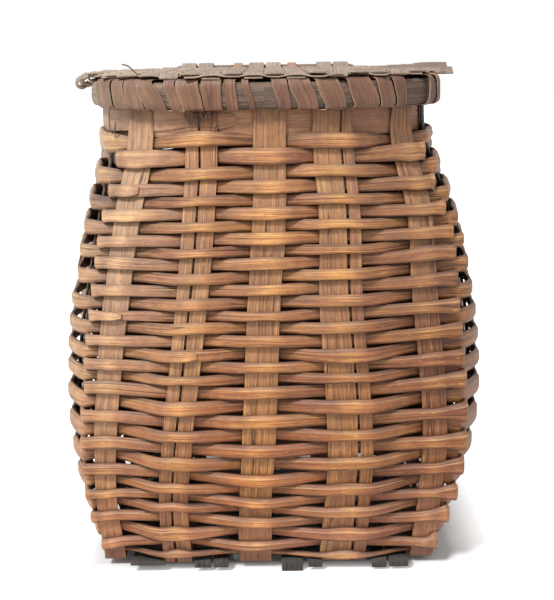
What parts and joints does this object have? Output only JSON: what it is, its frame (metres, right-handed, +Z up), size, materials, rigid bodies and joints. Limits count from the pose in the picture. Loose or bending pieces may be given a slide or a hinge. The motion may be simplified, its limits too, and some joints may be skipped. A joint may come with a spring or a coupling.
{
  "type": "lidded basket",
  "caption": "Tall woven splint basket, square at the foot and round at the rim, with a bellied wall, a lashed rim and a flat plaited lid hinged at the back.",
  "frame": {"origin": "on the ground, under the middle of the whole basket's outline", "axes": "+Z up, front of the basket towards -Y, lid hinge at the back towards +Y, +X to the right seen from the front"},
  "size_m": [0.3644, 0.3642, 0.4301],
  "materials": {
    "stake_splint": "aged satin, fine straight grain",
    "weaver_splint": "aged gold-brown, worn satin",
    "dark_splint": "grey-brown, weathered, matte",
    "lashing_splint": "reddish brown, satin",
    "lid_splint": "grey-beige, dusty, matte",
    "stick_wood": "worn, matte"
  },
  "bodies": {
    "basket": {"stake_corner_left": "stake_splint", "stake_left_narrow": "stake_splint", "stake_left_wide": "stake_splint", "stake_middle": "stake_splint", "stake_right_wide": "stake_splint", "stake_right_narrow": "stake_splint", "stake_corner_right": "stake_splint", "stake_side_front": "stake_splint", "stake_side_middle": "stake_splint", "stake_side_back": "stake_splint", "base_filler_lengthwise_1": "dark_splint", "base_filler_lengthwise_2": "dark_splint", "base_filler_lengthwise_3": "dark_splint", "base_filler_lengthwise_4": "dark_splint", "base_filler_lengthwise_5": "dark_splint", "base_filler_lengthwise_6": "dark_splint", "base_filler_lengthwise_7": "dark_splint", "base_filler_crosswise_1": "dark_splint", "base_filler_crosswise_2": "dark_splint", "base_filler_crosswise_3": "dark_splint", "base_filler_crosswise_4": "dark_splint", "weaver_a_1": "weaver_splint", "weaver_a_2": "weaver_splint", "weaver_a_3": "weaver_splint", "weaver_a_4": "weaver_splint", "weaver_a_5": "weaver_splint", "weaver_a_6": "weaver_splint", "weaver_b_1": "weaver_splint", "weaver_b_2": "weaver_splint", "weaver_b_3": "weaver_splint", "weaver_b_4": "weaver_splint", "weaver_b_5": "weaver_splint", "weaver_b_6": "weaver_splint", "rim_inner_hoop": "dark_splint", "rim_outer_hoop": "dark_splint", "rim_band": "stake_splint", "rim_lashing_right": "lashing_splint", "rim_lashing_left": "lashing_splint", "hinge_loop_left": "lashing_splint", "hinge_loop_right": "lashing_splint"},
    "lid": {"lid_lath_1": "lid_splint", "lid_lath_2": "lid_splint", "lid_lath_3": "lid_splint", "lid_lath_4": "lid_splint", "lid_lath_5": "lid_splint", "lid_lath_6": "lid_splint", "lid_lath_7": "lid_splint", "lid_lath_8": "lid_splint", "lid_lath_9": "lid_splint", "lid_splint_1": "lid_splint", "lid_splint_2": "lid_splint", "lid_splint_3": "lid_splint", "lid_splint_4": "lid_splint", "lid_splint_5": "lid_splint", "lid_splint_6": "lid_splint", "lid_splint_7": "lid_splint", "lid_splint_8": "lid_splint", "lid_splint_9": "lid_splint", "lid_hinge_stick": "stick_wood"}
  },
  "joints": [
    {"name": "lid_hinge", "type": "hinge", "parent": "basket", "child": "lid", "pos_m": [-0.00488, 0.16148, 0.4245], "axis": [-1, 0, 0], "range_deg": [0, 255]}
  ]
}
